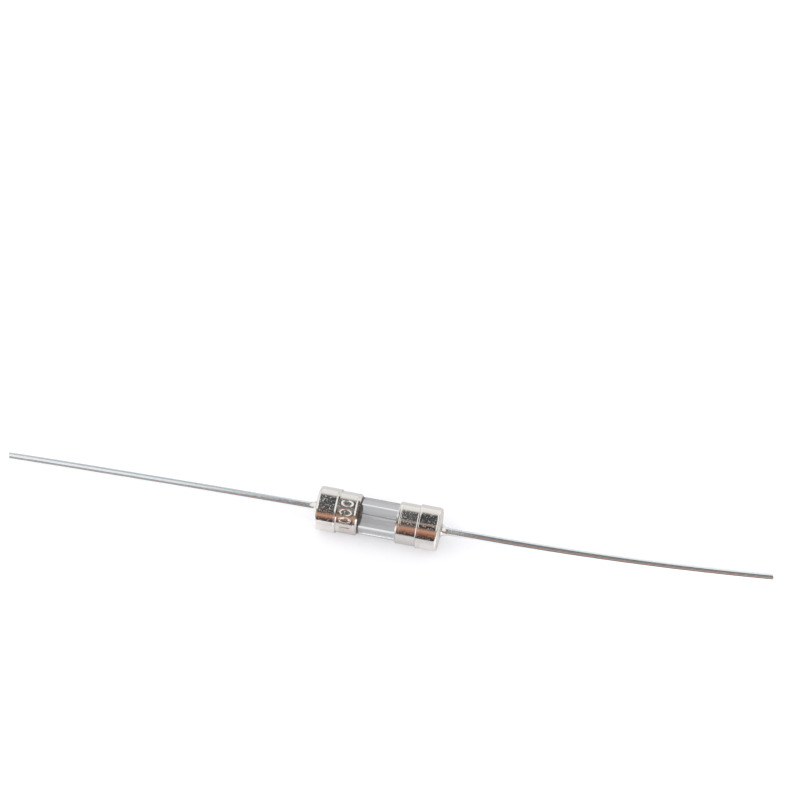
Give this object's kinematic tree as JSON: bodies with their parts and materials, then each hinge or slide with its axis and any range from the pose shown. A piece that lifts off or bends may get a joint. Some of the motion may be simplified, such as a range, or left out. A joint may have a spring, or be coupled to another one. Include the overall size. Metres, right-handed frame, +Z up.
{
  "type": "cartridge fuse",
  "caption": "Axial-lead glass cartridge fuse: clear glass tube holding a thin fuse wire, nickel-plated end caps and long tinned wire leads for soldering.",
  "frame": {"origin": "on the surface that the lead caps lie on, midway between the tips of the two leads", "axes": "+X along the body's axis towards the lead that bows the more, +Z up, +Y the way that lead bows"},
  "size_m": [0.0625, 0.0036, 0.0036],
  "materials": {
    "clear_glass": "polished",
    "nickel_plate": "polished",
    "tinned_copper": "gloss",
    "weld_metal": "gloss",
    "solder": "satin",
    "fuse_wire": "satin"
  },
  "bodies": {
    "root": {"glass_tube": "clear_glass", "left_ferrule": "nickel_plate", "right_ferrule": "nickel_plate", "left_lead_cap": "nickel_plate", "right_lead_cap": "nickel_plate", "left_lead": "tinned_copper", "right_lead": "tinned_copper", "left_lead_weld": "weld_metal", "right_lead_weld": "weld_metal", "left_solder": "solder", "right_solder": "solder", "fuse_wire": "fuse_wire"}
  },
  "joints": []
}
